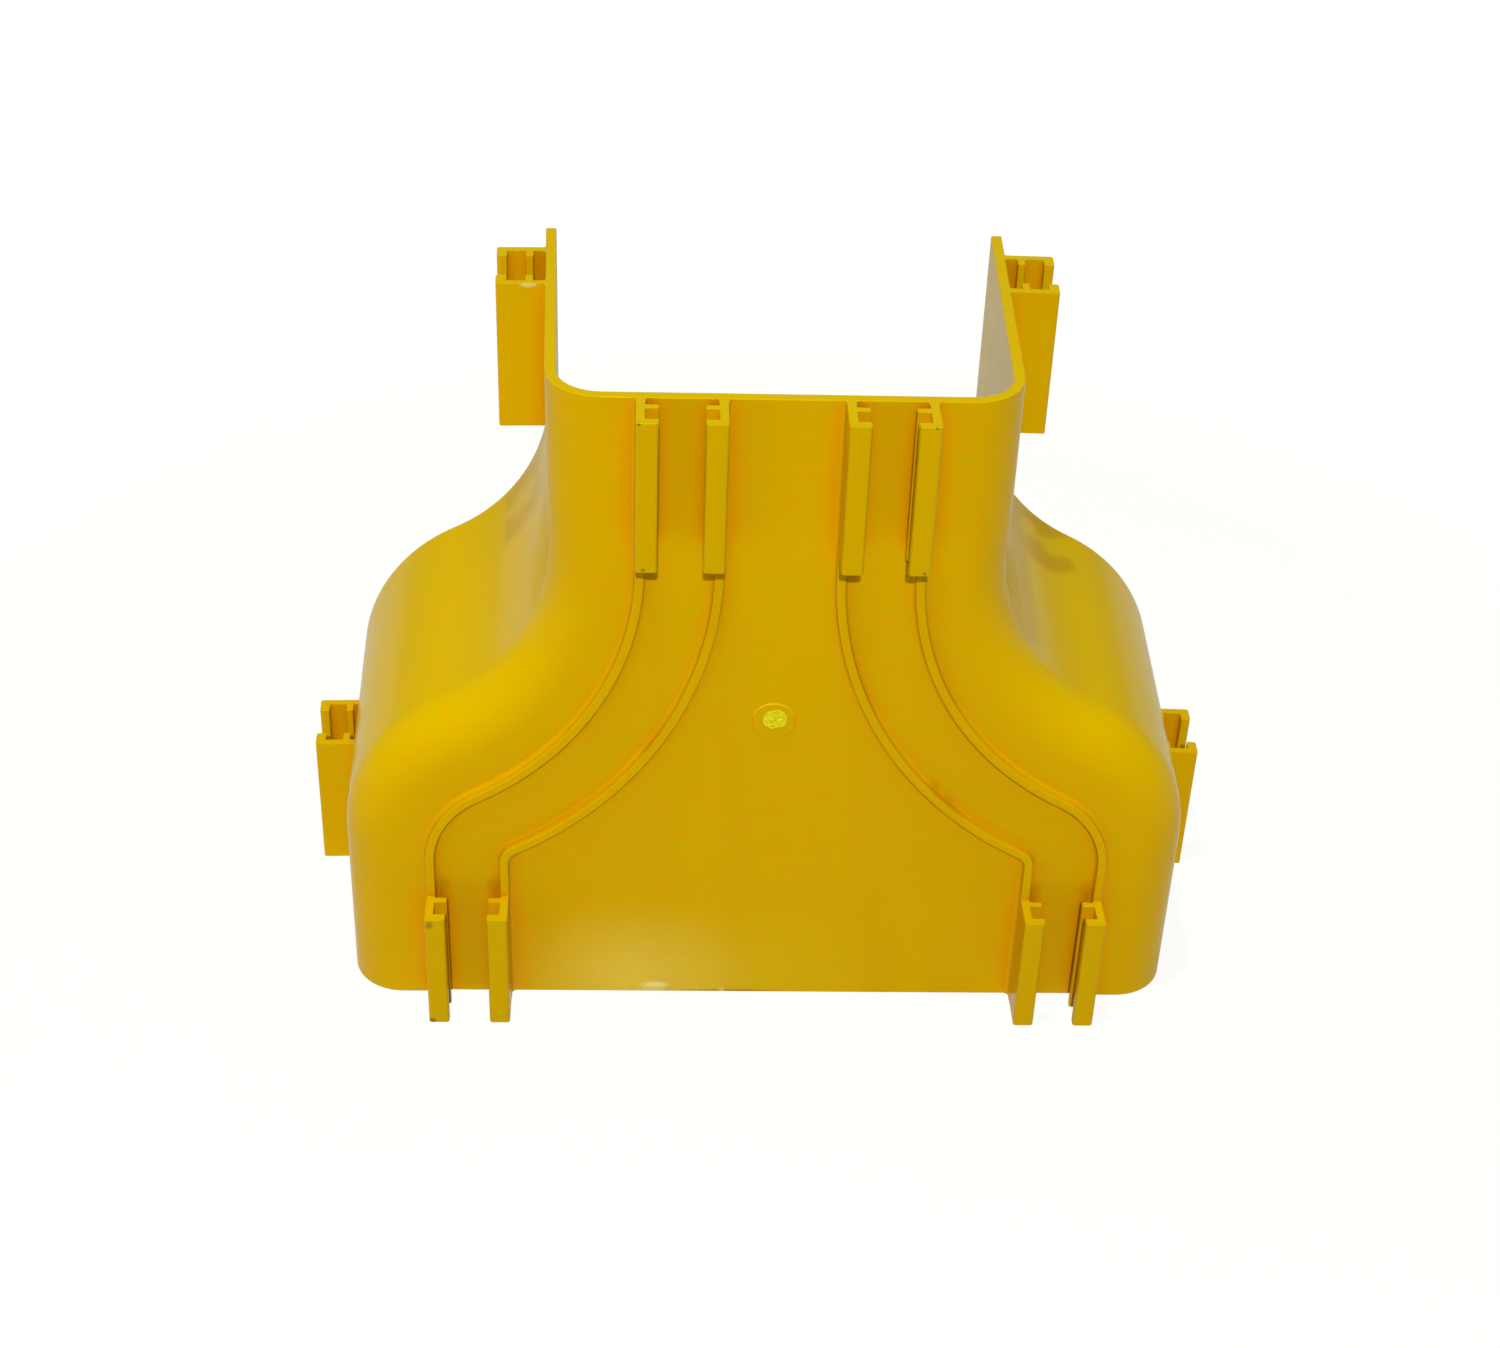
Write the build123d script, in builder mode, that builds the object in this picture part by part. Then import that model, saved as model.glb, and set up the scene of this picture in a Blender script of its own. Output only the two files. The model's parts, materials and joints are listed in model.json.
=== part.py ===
from build123d import *
from math import acos, cos, degrees, radians, sin, tan
import os

# Reducer of a cable duct: a moulded U channel that steps from a wide duct down to a narrow one.
# It stands on its wide end, the mouth, with its narrow end, the neck, on top. The channel is open
# towards +Y and the floor's outer face looks towards -Y. Lengths are millimetres, angles degrees.

# Channel, measured over the outside and at the floor
length = 200.5
height = 100.0
wall = 3.0
neck_half_width = 61.7
mouth_half_width = 120.8
wall_draft = 2.0
corner_radius = 15.0
neck_bend_radius = 56.5
mouth_bend_radius = 50.0
rim_chamfer = 0.4

# Hooked rails: two facing hooks that hold a flat joiner between their lips
rail_span = 23.5
rail_mouth_gap = 11.8
rail_web = 2.4
joiner_gap = 3.4
inner_lip = 2.0
joiner_slot = 5.4
outer_lip = 2.8
rail_corner_radius = 0.8

# Places and lengths of the rails
floor_rail_inset = 35.0
neck_floor_rail_length = 44.0
mouth_floor_rail_length = 39.0
wall_rail_height = 75.4
wall_rail_length = 44.0

# Low ribs that carry the floor rails' webs on along the flare, radii of their bends' hollow sides
rib_height = 2.8
outer_rib_neck_bend_radius = 85.0
outer_rib_mouth_bend_radius = 25.1
inner_rib_neck_bend_radius = 106.1
inner_rib_mouth_bend_radius = 4.0

# Floor panel between the outer ribs, which falls back towards the mouth
panel_fall = 0.6

# Low gate pad and the torn stub on it
gate_diameter = 11.6
gate_height = 0.4
stub_diameter = 7.2
stub_height = 0.2

# How far cuts run past the faces that they open
overrun = 10.0

# Sizes that follow from the ones above
rail_reach = joiner_gap + inner_lip + joiner_slot + outer_lip
floor_y = (rail_reach - height) / 2
flare_middle = length / 2
root = wall / 2
lean = radians(wall_draft)
neck_rail_x = neck_half_width - floor_rail_inset
mouth_rail_x = mouth_half_width - floor_rail_inset
outer_rib_inset = floor_rail_inset - rail_span / 2
inner_rib_inset = floor_rail_inset + rail_span / 2 - rail_web


def plan_plane(depth):
    """Plane of a plan outline, depth behind the floor's outer face, looking into the channel."""
    return Plane(origin=(0, floor_y + depth, 0), x_dir=(-1, 0, 0), z_dir=(0, 1, 0))


def flare_side(inset, neck_radius, mouth_radius):
    """A straight, two tangent bends and a straight, inset from the side wall's outer face."""
    neck_x = neck_half_width - inset
    mouth_x = mouth_half_width - inset
    bends = neck_radius + mouth_radius
    turn = acos(1 - (mouth_x - neck_x) / bends)
    half_rise = bends * sin(turn) / 2
    neck_end = (neck_x, flare_middle + half_rise)
    mouth_end = (mouth_x, flare_middle - half_rise)
    with BuildLine() as side:
        Line((neck_x, length + overrun), neck_end)
        CenterArc((neck_x + neck_radius, neck_end[1]), neck_radius, 180, degrees(turn))
        CenterArc((mouth_x - mouth_radius, mouth_end[1]), mouth_radius, degrees(turn), -degrees(turn))
        Line(mouth_end, (mouth_x, -overrun))
    return side.line


def mirrored_plan(inset, neck_radius, mouth_radius):
    """The face between one flare side and its mirror image, closed past both ends."""
    with BuildSketch() as plan:
        with BuildLine():
            add(flare_side(inset, neck_radius, mouth_radius))
            Line((neck_half_width - inset, length + overrun), (0, length + overrun))
            Line((mouth_half_width - inset, -overrun), (0, -overrun))
            mirror(about=Plane.YZ)
        make_face()
    return plan.sketch


def channel_plan(inset):
    """The plan of the channel with its side walls moved in by inset."""
    return mirrored_plan(inset, neck_bend_radius + inset, mouth_bend_radius - inset)


def rib_plan(inset, neck_radius, mouth_radius):
    """The plan of one rib, as wide as a rail's web, with its outer face moved in by inset."""
    far_inset = inset + rail_web
    with BuildSketch() as plan:
        with BuildLine():
            add(flare_side(inset, neck_radius, mouth_radius + rail_web))
            add(flare_side(far_inset, neck_radius + rail_web, mouth_radius))
            for half_width, z in ((neck_half_width, length + overrun), (mouth_half_width, -overrun)):
                Line((half_width - inset, z), (half_width - far_inset, z))
        make_face()
    return plan.sketch


def rail_section(base):
    """Section of two hooks that face each other, standing on the base plane's X axis."""
    half_span = rail_span / 2
    half_gap = rail_mouth_gap / 2
    web_inside = half_span - rail_web
    with BuildSketch(base) as section:
        with BuildLine():
            Polyline(
                (half_span, -root),
                (half_span, rail_reach),
                (half_gap, rail_reach),
                (half_gap, rail_reach - outer_lip),
                (web_inside, rail_reach - outer_lip),
                (web_inside, joiner_gap + inner_lip),
                (half_gap, joiner_gap + inner_lip),
                (half_gap, joiner_gap),
                (web_inside, joiner_gap),
                (web_inside, -root),
                close=True,
            )
        make_face()
        fillet(section.vertices().group_by(Axis.Y)[-1], rail_corner_radius)
        mirror(about=Plane.YZ)
    return section.sketch


def floor_rail_plane(x, z):
    """Plane of a floor rail's section, its Y axis straight out of the floor."""
    return Plane(origin=(x, floor_y, z), x_dir=(-1, 0, 0), z_dir=(0, 0, 1))


def wall_rail_plane(half_width, z):
    """Plane of a wall rail's section, its Y axis straight out of the leaning right wall."""
    foot = (half_width + wall_rail_height * tan(lean), floor_y + wall_rail_height, z)
    return Plane(origin=foot, x_dir=(-sin(lean), -cos(lean), 0), z_dir=(0, 0, 1))


# Hollow of the channel, which leaves a floor and walls of one thickness
with BuildPart() as hollow:
    with BuildSketch(plan_plane(wall)):
        add(channel_plan(wall / cos(lean) - wall * tan(lean)))
    extrude(amount=height - wall + overrun, taper=-wall_draft)
    floor_outline = hollow.edges().group_by(Axis.Y)[0]
    fillet(floor_outline - floor_outline.filter_by(Axis.X), corner_radius - wall)

# Wedge taken off the panel between the outer ribs, deepest at the mouth
with BuildPart() as panel_wedge:
    with BuildSketch(plan_plane(0)):
        add(
            mirrored_plan(
                outer_rib_inset + rail_web,
                outer_rib_neck_bend_radius + rail_web,
                outer_rib_mouth_bend_radius,
            )
        )
    extrude(amount=panel_fall)
    falling_face = Plane(
        origin=(0, floor_y, flare_middle), x_dir=(1, 0, 0), z_dir=(0, -flare_middle, -panel_fall)
    )
    split(bisect_by=falling_face, keep=Keep.TOP)

# Ribs of both sides, long enough to be trimmed with the channel
with BuildPart() as ribs:
    with BuildSketch(plan_plane(root)):
        add(rib_plan(outer_rib_inset, outer_rib_neck_bend_radius, outer_rib_mouth_bend_radius))
        add(rib_plan(inner_rib_inset, inner_rib_neck_bend_radius, inner_rib_mouth_bend_radius))
        mirror(about=Plane.YZ)
    extrude(amount=-root - rib_height)
    split(bisect_by=Plane.XY, keep=Keep.TOP)
    split(bisect_by=Plane.XY.offset(length), keep=Keep.BOTTOM)

# Wall rails of both sides, flush with the neck's end and the mouth's end
with BuildPart() as wall_rails:
    extrude(rail_section(wall_rail_plane(neck_half_width, length)), amount=-wall_rail_length)
    extrude(rail_section(wall_rail_plane(mouth_half_width, 0)), amount=wall_rail_length)
    mirror(about=Plane.YZ)

# The moulding: a drafted block with rounded floor corners, hollowed and cut flat at its ends
with BuildPart() as raceway_reducer:
    with BuildSketch(plan_plane(0)):
        add(channel_plan(0))
    extrude(amount=height, taper=-wall_draft)
    floor_outline = raceway_reducer.edges().group_by(Axis.Y)[0]
    fillet(floor_outline - floor_outline.filter_by(Axis.X), corner_radius)
    add(hollow.part, mode=Mode.SUBTRACT)
    split(bisect_by=Plane.XY, keep=Keep.TOP)
    split(bisect_by=Plane.XY.offset(length), keep=Keep.BOTTOM)
    neck_and_mouth = raceway_reducer.faces().filter_by(Axis.Z)
    free_edges = raceway_reducer.faces().filter_by(Axis.Y).group_by(Axis.Y)[-1]
    chamfer(neck_and_mouth.edges() + free_edges.edges(), rim_chamfer)

    # Panel and ribs of the floor
    add(panel_wedge.part, mode=Mode.SUBTRACT)
    add(ribs.part)

    # Rails of the floor and of the walls
    for side in (-1, 1):
        neck_section = rail_section(floor_rail_plane(side * neck_rail_x, length))
        extrude(neck_section, amount=-neck_floor_rail_length)
        mouth_section = rail_section(floor_rail_plane(side * mouth_rail_x, 0))
        extrude(mouth_section, amount=mouth_floor_rail_length)
    add(wall_rails.part)

    # Gate pad with its stub
    with BuildSketch(plan_plane(root)) as gate:
        with Locations((0, flare_middle)):
            Circle(gate_diameter / 2)
    extrude(amount=-root - gate_height)
    with BuildSketch(plan_plane(root)) as stub:
        with Locations((0, flare_middle)):
            Circle(stub_diameter / 2)
    extrude(amount=-root - gate_height - stub_height)

raceway_reducer.part.label = "raceway_reducer"

os.makedirs("parts", exist_ok=True)
export_step(raceway_reducer.part, "parts/raceway_reducer.step")
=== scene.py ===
import json
import math

import bmesh
import bpy
from mathutils import Euler, Matrix, Vector, noise

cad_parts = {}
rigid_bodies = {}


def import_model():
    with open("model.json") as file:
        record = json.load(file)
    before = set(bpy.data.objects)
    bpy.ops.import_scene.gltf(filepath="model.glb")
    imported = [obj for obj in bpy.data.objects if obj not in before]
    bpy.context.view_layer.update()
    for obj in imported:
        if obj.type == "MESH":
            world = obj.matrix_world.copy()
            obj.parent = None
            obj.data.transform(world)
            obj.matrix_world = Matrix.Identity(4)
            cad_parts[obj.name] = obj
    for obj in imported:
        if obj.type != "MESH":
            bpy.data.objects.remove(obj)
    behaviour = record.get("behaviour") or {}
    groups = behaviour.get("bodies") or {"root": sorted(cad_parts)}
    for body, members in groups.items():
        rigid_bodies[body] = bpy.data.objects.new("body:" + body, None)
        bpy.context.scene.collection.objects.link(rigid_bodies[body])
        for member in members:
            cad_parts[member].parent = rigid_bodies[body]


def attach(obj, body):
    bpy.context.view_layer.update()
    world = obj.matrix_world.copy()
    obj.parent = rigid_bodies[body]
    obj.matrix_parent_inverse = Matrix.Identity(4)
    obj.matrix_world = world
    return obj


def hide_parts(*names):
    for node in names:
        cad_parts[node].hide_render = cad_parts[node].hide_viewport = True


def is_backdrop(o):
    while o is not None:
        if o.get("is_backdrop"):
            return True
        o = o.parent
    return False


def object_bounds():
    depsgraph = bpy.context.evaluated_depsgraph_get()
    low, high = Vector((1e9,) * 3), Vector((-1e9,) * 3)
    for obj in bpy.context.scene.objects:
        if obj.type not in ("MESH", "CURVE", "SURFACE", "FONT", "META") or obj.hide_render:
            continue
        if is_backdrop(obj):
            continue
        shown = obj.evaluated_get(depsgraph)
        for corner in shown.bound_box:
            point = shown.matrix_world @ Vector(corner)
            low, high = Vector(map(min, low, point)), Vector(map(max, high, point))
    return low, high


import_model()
cad_low, cad_high = (Vector(corner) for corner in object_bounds())
frame_objects = set(bpy.context.scene.objects)

# Looks of a moulded yellow duct reducer. It stands on its wide end, the mouth, with its narrow end,
# the neck, on top. The channel is open towards +Y, and the camera looks at the floor's outer face.
# All lengths are metres and all angles radians.

MM = 0.001
BODY = "raceway_reducer"

# Channel, measured over the outside and at the floor
LENGTH = cad_high.z - cad_low.z
WALL = 3.0 * MM
NECK_HALF_WIDTH = 61.7 * MM
MOUTH_HALF_WIDTH = 120.8 * MM
WALL_LEAN = math.radians(2.0)
CORNER_RADIUS = 15.0 * MM
CHANNEL_BENDS = (56.5 * MM, 50.0 * MM)
RIM_RADIUS = 0.4 * MM
END_RADIUS = 0.35 * MM
FLARE_MIDDLE = LENGTH / 2

# Hooked rails
RAIL_SPAN = 23.5 * MM
RAIL_MOUTH_GAP = 11.8 * MM
RAIL_WEB = 2.4 * MM
JOINER_GAP = 3.4 * MM
INNER_LIP = 2.0 * MM
JOINER_SLOT = 5.4 * MM
OUTER_LIP = 2.8 * MM
RAIL_REACH = JOINER_GAP + INNER_LIP + JOINER_SLOT + OUTER_LIP
RAIL_CORNER_RADIUS = 0.8 * MM
RAIL_EDGE_RADIUS = 0.3 * MM
RAIL_END_RADIUS = 0.25 * MM
RAIL_FOOT_RADIUS = 0.8 * MM
FLOOR_RAIL_INSET = 35.0 * MM
NECK_FLOOR_RAIL_LENGTH = 44.0 * MM
MOUTH_FLOOR_RAIL_LENGTH = 39.0 * MM
WALL_RAIL_HEIGHT = 75.4 * MM
WALL_RAIL_LENGTH = 44.0 * MM

# Ribs, whose bend radii are those of their middle lines
RIB_HEIGHT = 2.8 * MM
RIB_WIDTH = RAIL_WEB + 0.1 * MM
RIB_TOP_RADIUS = 0.35 * MM
RIB_FOOT_RADIUS = 1.2 * MM
OUTER_RIB_BENDS = (86.2 * MM, 26.3 * MM)
INNER_RIB_BENDS = (107.3 * MM, 5.2 * MM)
OUTER_RIB_INSET = FLOOR_RAIL_INSET - RAIL_SPAN / 2 + RAIL_WEB / 2
INNER_RIB_INSET = FLOOR_RAIL_INSET + RAIL_SPAN / 2 - RAIL_WEB / 2

# Panel between the outer ribs, gate pad and torn stub
PANEL_FALL = 0.6 * MM
PANEL_STEP = 0.1 * MM
EDGE_STRIP = 18.0 * MM
GATE_RADIUS = 5.8 * MM
GATE_HEIGHT = 0.4 * MM
GATE_EDGE_RADIUS = 0.12 * MM
STUB_RADIUS = 3.5 * MM
STUB_HEIGHT = 0.2 * MM
STUB_OFFSET = Vector((0.4 * MM, 0.0, 0.8 * MM))
STUB_SQUASH = 0.88
STUB_TOP_SHARES = (0.98, 0.96)

# How the torn stub wavers: noise scale and reach, its outline's as shares and its top's as lengths
STUB_SEED = Vector((3.7, 0.0, 3.7))
STUB_OUTLINE = (1.6, 0.16)
STUB_FRAY = (0.9, 0.07)
STUB_LUMPS = (0.8, 0.18 * MM)
STUB_PITS = (2.6, 0.09 * MM)

# How pieces meet: depth of roots in a wall, of feathered feet, and the gap to an end face
ROOT = WALL / 2
SUNK = 0.02 * MM
FLUSH_GAP = 0.05 * MM
WELD = MM / 1000

# How finely round shapes are drawn, and which faces and edges count as flat ends and as smooth
ARC_STEPS = 3
BEND_POINTS = 24
RIM_SEGMENTS = 3
GATE_EDGE_STEPS = 4
ROUND_SEGMENTS = 72
STUB_RINGS = 14
END_FACING = 0.999
SMOOTH_BELOW = math.radians(31)

# The rails' front, the floor's outer face and the channel's depth, from the frame's box
RAIL_FRONT = cad_low.y
FLOOR_Y = RAIL_FRONT + RAIL_REACH
DEPTH = cad_high.y - FLOOR_Y
NECK_RAIL_X = NECK_HALF_WIDTH - FLOOR_RAIL_INSET
MOUTH_RAIL_X = MOUTH_HALF_WIDTH - FLOOR_RAIL_INSET


# Outlines and loose geometry

def rounded(corners):
    """The closed outline through corners (x, y, radius), each rounded to its own radius."""
    points = []
    for i, (x, y, radius) in enumerate(corners):
        here = Vector((x, y))
        if radius == 0:
            points.append((x, y))
            continue
        before = (Vector(corners[i - 1][:2]) - here).normalized()
        after = (Vector(corners[(i + 1) % len(corners)][:2]) - here).normalized()
        half = before.angle(after) / 2
        centre = here + (before + after).normalized() * radius / math.sin(half)
        start = here + before * radius / math.tan(half) - centre
        end = here + after * radius / math.tan(half) - centre
        turn = start.angle_signed(end)
        steps = max(ARC_STEPS, round(ARC_STEPS * math.sqrt(radius / MM)))
        for k in range(steps + 1):
            spoke = start.copy()
            spoke.rotate(Matrix.Rotation(-turn * k / steps, 2))
            points.append(tuple(centre + spoke))
    return points


def link(made):
    bpy.context.scene.collection.objects.link(made)
    return made


def polylines(name, lines, radii=None, closed=False):
    """A curve of straight runs, one spline a line, with a bend radius kept on each point."""
    curve = bpy.data.curves.new(name, "CURVE")
    curve.dimensions = "3D"
    for number, points in enumerate(lines):
        spline = curve.splines.new("POLY")
        spline.points.add(len(points) - 1)
        for k, point in enumerate(points):
            spline.points[k].co = (*point, 1.0)
            spline.points[k].radius = radii[number][k] if radii else 1.0
        spline.use_cyclic_u = closed
    return link(bpy.data.objects.new(name, curve))


def loose_points(name, points, **values):
    """Points without edges, each with its value of every named attribute."""
    mesh = bpy.data.meshes.new(name)
    mesh.from_pydata(points, [], [])
    for label, numbers in values.items():
        mesh.attributes.new(label, "FLOAT", "POINT").data.foreach_set("value", numbers)
    return link(bpy.data.objects.new(name, mesh))


def flare_corners(inset, bends, short=0.0):
    """Corner points of a flare side from neck to mouth, and the bend radius at each."""
    neck_x = NECK_HALF_WIDTH - inset
    mouth_x = MOUTH_HALF_WIDTH - inset
    neck_radius, mouth_radius = bends
    turn = math.acos(1 - (mouth_x - neck_x) / (neck_radius + mouth_radius))
    half_rise = (neck_radius + mouth_radius) * math.sin(turn) / 2
    neck_z = FLARE_MIDDLE + half_rise - neck_radius * math.tan(turn / 2)
    mouth_z = FLARE_MIDDLE - half_rise + mouth_radius * math.tan(turn / 2)
    neck = [(neck_x, 0, LENGTH - short), (neck_x, 0, neck_z)]
    mouth = [(mouth_x, 0, mouth_z), (mouth_x, 0, short)]
    return neck + mouth, (0.0, neck_radius, mouth_radius, 0.0)


# Node trees

def new_tree(name, inputs):
    """An empty geometry tree with named inputs. Returns the tree and its input sockets."""
    tree = bpy.data.node_groups.new(name, "GeometryNodeTree")
    tree.interface.new_socket("Geometry", in_out="INPUT", socket_type="NodeSocketGeometry")
    tree.interface.new_socket("Geometry", in_out="OUTPUT", socket_type="NodeSocketGeometry")
    for label, kind in inputs.items():
        tree.interface.new_socket(label, in_out="INPUT", socket_type="NodeSocket" + kind)
    return tree, tree.nodes.new("NodeGroupInput").outputs


def put(tree, kind, inputs=None, **settings):
    """Adds a node, sets its properties, and fills its inputs with values or links."""
    made = tree.nodes.new(kind)
    for key, value in settings.items():
        setattr(made, key, value)
    for key, value in (inputs or {}).items():
        for entry in value if isinstance(value, list) else [value]:
            if isinstance(entry, bpy.types.NodeSocket):
                tree.links.new(entry, made.inputs[key])
            else:
                made.inputs[key].default_value = entry
    return made


def maths(tree, operation, a, b=0.0, clamp=False):
    return put(tree, "ShaderNodeMath", {0: a, 1: b}, operation=operation, use_clamp=clamp).outputs[0]


def vectors(tree, operation, a, b=None, scale=None):
    inputs = {0: a}
    if b is not None:
        inputs[1] = b
    if scale is not None:
        inputs["Scale"] = scale
    return put(tree, "ShaderNodeVectorMath", inputs, operation=operation).outputs[0]


def combine(tree, x=0.0, y=0.0, z=0.0):
    return put(tree, "ShaderNodeCombineXYZ", {"X": x, "Y": y, "Z": z}).outputs[0]


def attribute(tree, name):
    return put(tree, "GeometryNodeInputNamedAttribute", {"Name": name}, data_type="FLOAT").outputs[0]


def geometry_of(tree, held):
    return put(tree, "GeometryNodeObjectInfo", {"Object": held}).outputs["Geometry"]


def finish_tree(tree, geometry):
    """Ends a tree: instances made real, the plastic's material set, and the result put out."""
    real = put(tree, "GeometryNodeRealizeInstances", {"Geometry": geometry}).outputs[0]
    painted = put(tree, "GeometryNodeSetMaterial", {"Geometry": real, "Material": plastic}).outputs[0]
    put(tree, "NodeGroupOutput", {"Geometry": painted})


def sweep_tree():
    """Sweeps a section along bent paths that lie in the XZ plane.

    The section's X runs outwards from the path, its Y out of the floor, and its Z holds the side:
    1 right, -1 left, 0 on the middle plane. The attribute line says which path a point follows, and
    falls is 1 where it follows the panel, which falls back below the middle of the flare.
    """
    tree, given = new_tree("section_along_paths", {
        "Paths": "Object", "Section": "Object", "Bend points": "Int", "Floor": "Float",
        "Panel fall": "Float", "Fall starts": "Float", "Weld": "Float"})
    corner_radius = put(tree, "GeometryNodeInputRadius").outputs[0]
    bent = put(tree, "GeometryNodeFilletCurve", {
        "Curve": geometry_of(tree, given["Paths"]), "Count": given["Bend points"],
        "Radius": corner_radius}, mode="POLY").outputs[0]
    section = geometry_of(tree, given["Section"])
    sizes = put(tree, "GeometryNodeAttributeDomainSize", {"Geometry": bent}, component="CURVE").outputs
    stations = maths(tree, "DIVIDE", sizes["Point Count"], sizes["Spline Count"])
    ring = put(tree, "GeometryNodeAttributeDomainSize", {"Geometry": section}, component="MESH")
    ring_count = ring.outputs["Point Count"]
    columns = maths(tree, "ADD", ring_count, 1)
    grid = put(tree, "GeometryNodeMeshGrid", {"Vertices X": stations, "Vertices Y": columns})

    index = put(tree, "GeometryNodeInputIndex").outputs[0]
    station = maths(tree, "FLOOR", maths(tree, "DIVIDE", maths(tree, "ADD", index, 0.5), columns))
    column = maths(tree, "SUBTRACT", index, maths(tree, "MULTIPLY", station, columns))
    point = maths(tree, "MODULO", maths(tree, "ROUND", column), ring_count)
    position = put(tree, "GeometryNodeInputPosition").outputs[0]
    tangent = put(tree, "GeometryNodeInputTangent").outputs[0]

    def sample(geometry, value, at, kind="FLOAT_VECTOR"):
        return put(tree, "GeometryNodeSampleIndex", {"Geometry": geometry, "Value": value, "Index": at},
                   data_type=kind, domain="POINT").outputs[0]

    on_section = put(tree, "ShaderNodeSeparateXYZ", {0: sample(section, position, point)}).outputs
    line = sample(section, attribute(tree, "line"), point, "FLOAT")
    falls = sample(section, attribute(tree, "falls"), point, "FLOAT")
    on_path = maths(tree, "ADD", station, maths(tree, "MULTIPLY", line, stations))
    along = sample(bent, tangent, on_path)
    outwards = vectors(tree, "CROSS_PRODUCT", along, (0.0, 1.0, 0.0))
    moved = vectors(tree, "ADD", sample(bent, position, on_path),
                    vectors(tree, "SCALE", outwards, scale=on_section["X"]))
    place = put(tree, "ShaderNodeSeparateXYZ", {0: moved}).outputs
    below = maths(tree, "SUBTRACT", given["Fall starts"], place["Z"])
    share = maths(tree, "DIVIDE", below, given["Fall starts"], clamp=True)
    fall = maths(tree, "MULTIPLY", maths(tree, "MULTIPLY", share, given["Panel fall"]), falls)
    level = maths(tree, "SUBTRACT", given["Floor"], on_section["Y"])
    swept = combine(tree, maths(tree, "MULTIPLY", place["X"], on_section["Z"]),
                    maths(tree, "ADD", level, fall), place["Z"])
    shaped = put(tree, "GeometryNodeSetPosition", {"Geometry": grid.outputs[0], "Position": swept})
    closed = put(tree, "GeometryNodeMergeByDistance",
                 {"Geometry": shaped.outputs[0], "Distance": given["Weld"]})
    finish_tree(tree, closed.outputs[0])
    return tree


def rails_tree():
    """Draws the hooks' outlines out to a rail one metre long, and sets one on every seat.

    A seat is a point at the rail's lower end, with its turn about Z and the rail's own length.
    """
    tree, given = new_tree("rails_on_seats", {"Hooks": "Object", "Seats": "Object", "Weld": "Float"})
    end = put(tree, "GeometryNodeFillCurve", {"Curve": geometry_of(tree, given["Hooks"])}, mode="NGONS")
    drawn = put(tree, "GeometryNodeExtrudeMesh", {
        "Mesh": end.outputs[0], "Offset": (0.0, 0.0, 1.0), "Offset Scale": 1.0, "Individual": False},
        mode="FACES")
    base = put(tree, "GeometryNodeFlipFaces", {"Mesh": end.outputs[0]})
    both = put(tree, "GeometryNodeJoinGeometry", {"Geometry": [drawn.outputs[0], base.outputs[0]]})
    hook = put(tree, "GeometryNodeMergeByDistance",
               {"Geometry": both.outputs[0], "Distance": given["Weld"]})
    turn = put(tree, "FunctionNodeEulerToRotation", {0: combine(tree, z=attribute(tree, "turn"))})
    rails = put(tree, "GeometryNodeInstanceOnPoints", {
        "Points": geometry_of(tree, given["Seats"]), "Instance": hook.outputs[0],
        "Rotation": turn.outputs[0], "Scale": combine(tree, 1.0, 1.0, attribute(tree, "length"))})
    finish_tree(tree, rails.outputs[0])
    return tree


def plain(source, name):
    """The object's evaluated shape as a new plain mesh."""
    graph = bpy.context.evaluated_depsgraph_get()
    graph.update()
    mesh = bpy.data.meshes.new_from_object(source.evaluated_get(graph), depsgraph=graph)
    mesh.name = name
    return mesh


def run(tree, name, **values):
    """Runs a tree by itself and returns the result as a plain mesh object."""
    made = link(bpy.data.objects.new(name, bpy.data.meshes.new(name)))
    modifier = made.modifiers.new(name, "NODES")
    modifier.node_group = tree
    for item in tree.interface.items_tree:
        key = item.name.lower().replace(" ", "_")
        if item.in_out == "INPUT" and key in values:
            modifier[item.identifier] = values[key]
    mesh = plain(made, name)
    made.modifiers.remove(modifier)
    made.data = mesh
    return made


def finished(piece, end_radius=0.0):
    """Closes open ends, turns the faces outwards and rounds the rims of the two end faces."""
    shape = bmesh.new()
    shape.from_mesh(piece.data)
    bmesh.ops.dissolve_degenerate(shape, dist=WELD, edges=shape.edges)
    bmesh.ops.holes_fill(shape, edges=[e for e in shape.edges if e.is_boundary])
    bmesh.ops.recalc_face_normals(shape, faces=shape.faces)
    weight = shape.edges.layers.float.new("bevel_weight_edge")
    for face in shape.faces:
        if abs(face.normal.z) > END_FACING:
            for edge in face.edges:
                edge[weight] = 1.0
    shape.to_mesh(piece.data)
    shape.free()
    if end_radius:
        bevel = piece.modifiers.new("ends", "BEVEL")
        bevel.limit_method = "WEIGHT"
        bevel.width = end_radius
        bevel.segments = RIM_SEGMENTS
        piece.data = plain(piece, piece.name)
        piece.modifiers.remove(bevel)
    return piece


# Materials, filled with nodes further down
plastic = bpy.data.materials.new("moulded_yellow_abs")
torn = bpy.data.materials.new("torn_yellow_abs")


# Sections

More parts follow.
